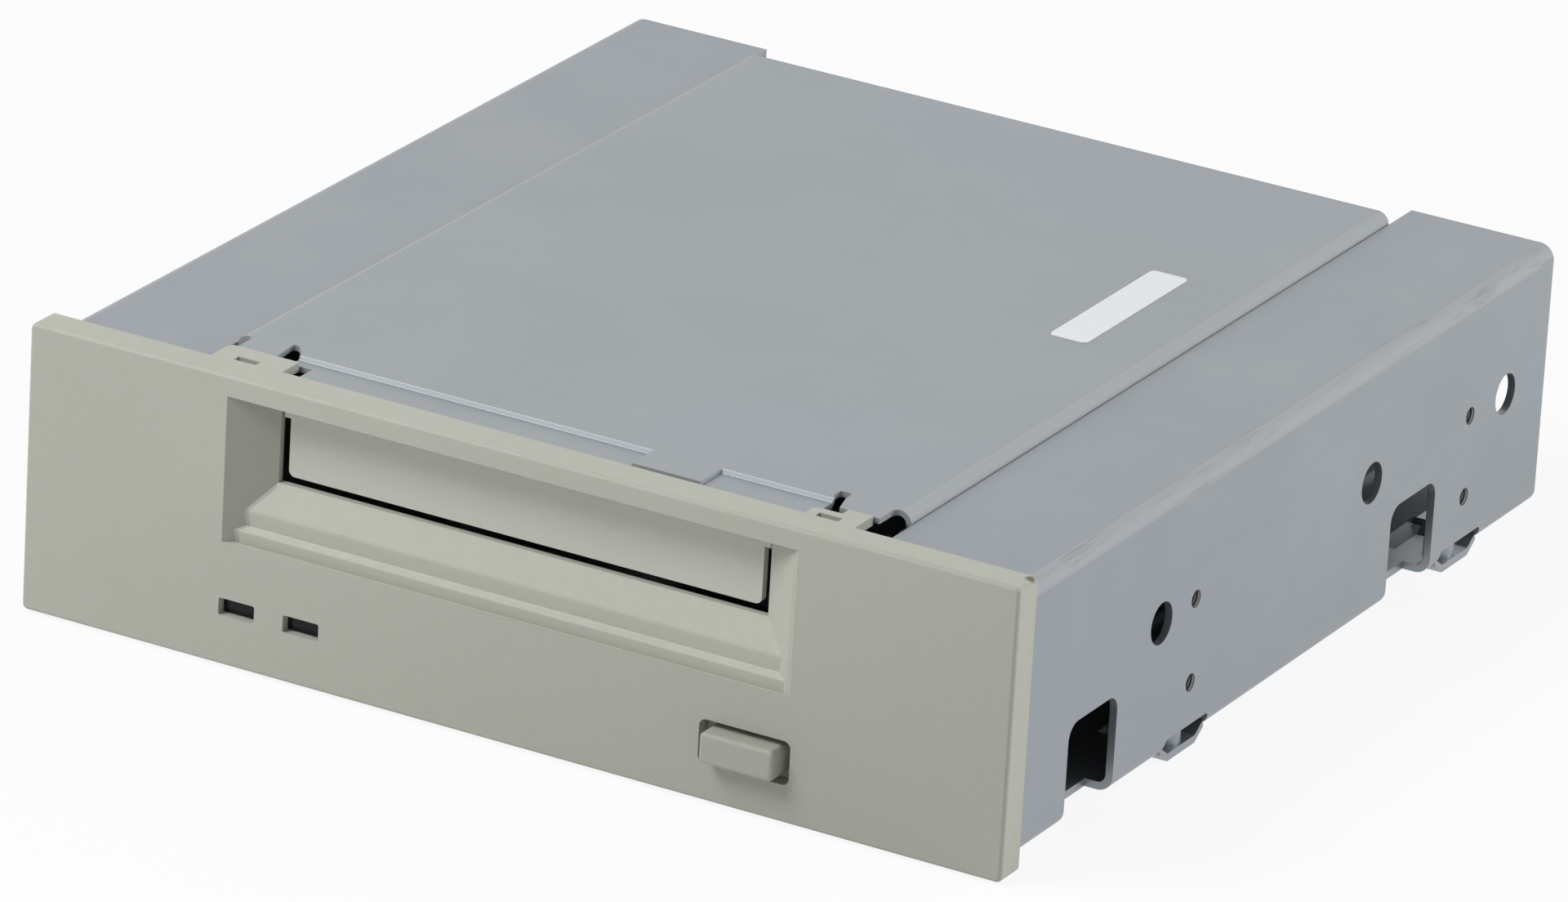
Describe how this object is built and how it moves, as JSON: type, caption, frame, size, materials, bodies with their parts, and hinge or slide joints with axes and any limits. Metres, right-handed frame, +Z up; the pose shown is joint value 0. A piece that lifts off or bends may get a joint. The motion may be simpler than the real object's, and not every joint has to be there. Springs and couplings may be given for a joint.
{
  "type": "data tape drive",
  "caption": "Helical-scan cartridge tape drive in folded steel side brackets behind a half-height bezel with a hinged cassette door, finger ramp and eject button.",
  "frame": {"origin": "under the middle of the drive, on the plane of the bottom mounting pads", "axes": "+X to the right seen from the bezel, +Y from the bezel to the rear connectors, +Z up"},
  "size_m": [0.1482, 0.1566, 0.0411],
  "materials": {
    "bezel_plastic": "fine-grained grey-beige moulding",
    "lens_dark": "dark indicator window",
    "zinc_steel": "zinc-plated sheet",
    "cover_steel": "plated sheet",
    "screw_steel": "plated",
    "circuit_board": "solder mask",
    "led": "moulded",
    "black_plastic": "moulded",
    "white_plastic": "moulded",
    "gold_pin": "plated",
    "tin_pin": "tin-plated",
    "deck_steel": "zinc-plated sheet",
    "brass": "turned",
    "holder_steel": "dark plated sheet",
    "gear_plastic": "acetal",
    "motor_can": "drawn can",
    "drum_aluminium": "turned and lapped",
    "guide_steel": "ground",
    "roller_rubber": "ground rubber"
  },
  "bodies": {
    "root": {"bezel": "bezel_plastic", "indicator_lens_left": "lens_dark", "indicator_lens_right": "lens_dark", "bracket_left": "zinc_steel", "bracket_right": "zinc_steel", "top_cover": "cover_steel", "base_pan": "cover_steel", "bracket_screws": "screw_steel", "board_screws": "screw_steel", "deck_screws": "screw_steel", "front_board_screws": "screw_steel", "door_hinge_pin": "screw_steel", "door_spring": "screw_steel", "front_board": "circuit_board", "main_board": "circuit_board", "indicator_leds": "led", "eject_switch": "black_plastic", "board_chips": "black_plastic", "bus_connector": "black_plastic", "power_connector": "white_plastic", "bus_pins": "gold_pin", "power_pins": "tin_pin", "mechanism_deck": "deck_steel", "deck_posts": "brass", "guide_plate_left": "deck_steel", "guide_plate_right": "deck_steel", "loading_motor": "motor_can", "reel_motors": "motor_can", "capstan_motor": "motor_can", "drum_base": "drum_aluminium", "guide_posts": "guide_steel"},
    "eject_button": {"eject_button": "bezel_plastic"},
    "cassette_door": {"cassette_door": "bezel_plastic"},
    "cassette_holder": {"cassette_holder": "holder_steel", "holder_pins": "screw_steel"},
    "lift": {"lift_yoke": "deck_steel", "cam_plate_left": "deck_steel", "cam_plate_right": "deck_steel"},
    "loading_gear": {"loading_gear": "gear_plastic"},
    "motor_pinion": {"motor_pinion": "gear_plastic"},
    "supply_reel_table": {"supply_reel_table": "gear_plastic"},
    "take_up_reel_table": {"take_up_reel_table": "gear_plastic"},
    "head_drum": {"head_drum": "drum_aluminium"},
    "capstan": {"capstan": "screw_steel"},
    "pinch_arm": {"pinch_arm": "deck_steel"},
    "pinch_roller": {"pinch_roller": "roller_rubber"},
    "threading_guide_left": {"threading_guide_left": "guide_steel"},
    "threading_guide_right": {"threading_guide_right": "guide_steel"}
  },
  "joints": [
    {"name": "eject_press", "type": "slide", "parent": "root", "child": "eject_button", "axis": [0, 1, 0], "range_m": [0, 0.001], "stiffness_N_per_m": 250, "springref_m": -0.0005},
    {"name": "door_hinge", "type": "hinge", "parent": "root", "child": "cassette_door", "pos_m": [0, -0.07093, 0.0384], "axis": [1, 0, 0], "range_deg": [0, 88], "stiffness_Nm_per_rad": 0.0006, "springref_deg": -11.46},
    {"name": "loading_gear_turn", "type": "hinge", "parent": "root", "child": "loading_gear", "pos_m": [-0.027, 0.01286, 0.0095], "axis": [0, 0, -1], "range_deg": [0, 133.7]},
    {"name": "lift_slide", "type": "slide", "parent": "root", "child": "lift", "axis": [0, 1, 0], "range_m": [0, 0.014]},
    {"name": "holder_lower", "type": "slide", "parent": "root", "child": "cassette_holder", "axis": [0, 0, -1], "range_m": [0, 0.0065]},
    {"name": "motor_pinion_turn", "type": "hinge", "parent": "root", "child": "motor_pinion", "pos_m": [-0.027, 0.02787, 0.0095], "axis": [0, 0, -1], "range_deg": [-534.8, 0]},
    {"name": "supply_reel_turn", "type": "hinge", "parent": "root", "child": "supply_reel_table", "pos_m": [-0.0156, -0.03714, 0.016], "axis": [0, 0, 1], "continuous": true},
    {"name": "take_up_reel_turn", "type": "hinge", "parent": "root", "child": "take_up_reel_table", "pos_m": [0.0144, -0.03714, 0.016], "axis": [0, 0, 1], "continuous": true},
    {"name": "drum_spin", "type": "hinge", "parent": "root", "child": "head_drum", "pos_m": [-0.0006, 0.01286, 0.0152], "axis": [0, -0.0872, 0.9962], "continuous": true},
    {"name": "capstan_spin", "type": "hinge", "parent": "root", "child": "capstan", "pos_m": [0.0284, 0.00587, 0.0152], "axis": [0, 0, 1], "continuous": true},
    {"name": "pinch_arm_swing", "type": "hinge", "parent": "root", "child": "pinch_arm", "pos_m": [0.0369, 0.00487, 0.017], "axis": [0, 0, -1], "range_deg": [0, 25]},
    {"name": "pinch_roller_turn", "type": "hinge", "parent": "pinch_arm", "child": "pinch_roller", "pos_m": [0.03082, -0.00222, 0.024], "axis": [0, 0, 1], "continuous": true},
    {"name": "threading_right", "type": "slide", "parent": "root", "child": "threading_guide_right", "axis": [0.4184, 0.9083, 0], "range_m": [0, 0.01816]},
    {"name": "threading_left", "type": "slide", "parent": "root", "child": "threading_guide_left", "axis": [-0.4184, 0.9083, 0], "range_m": [0, 0.01816]}
  ],
  "couplings": [
    {"joint": "loading_gear_turn", "follows": "lift_slide", "rad_per_m": 166.67},
    {"joint": "holder_lower", "follows": "lift_slide", "ratio": 0.46429},
    {"joint": "motor_pinion_turn", "follows": "lift_slide", "rad_per_m": -666.67},
    {"joint": "threading_left", "follows": "threading_right", "ratio": 1}
  ]
}
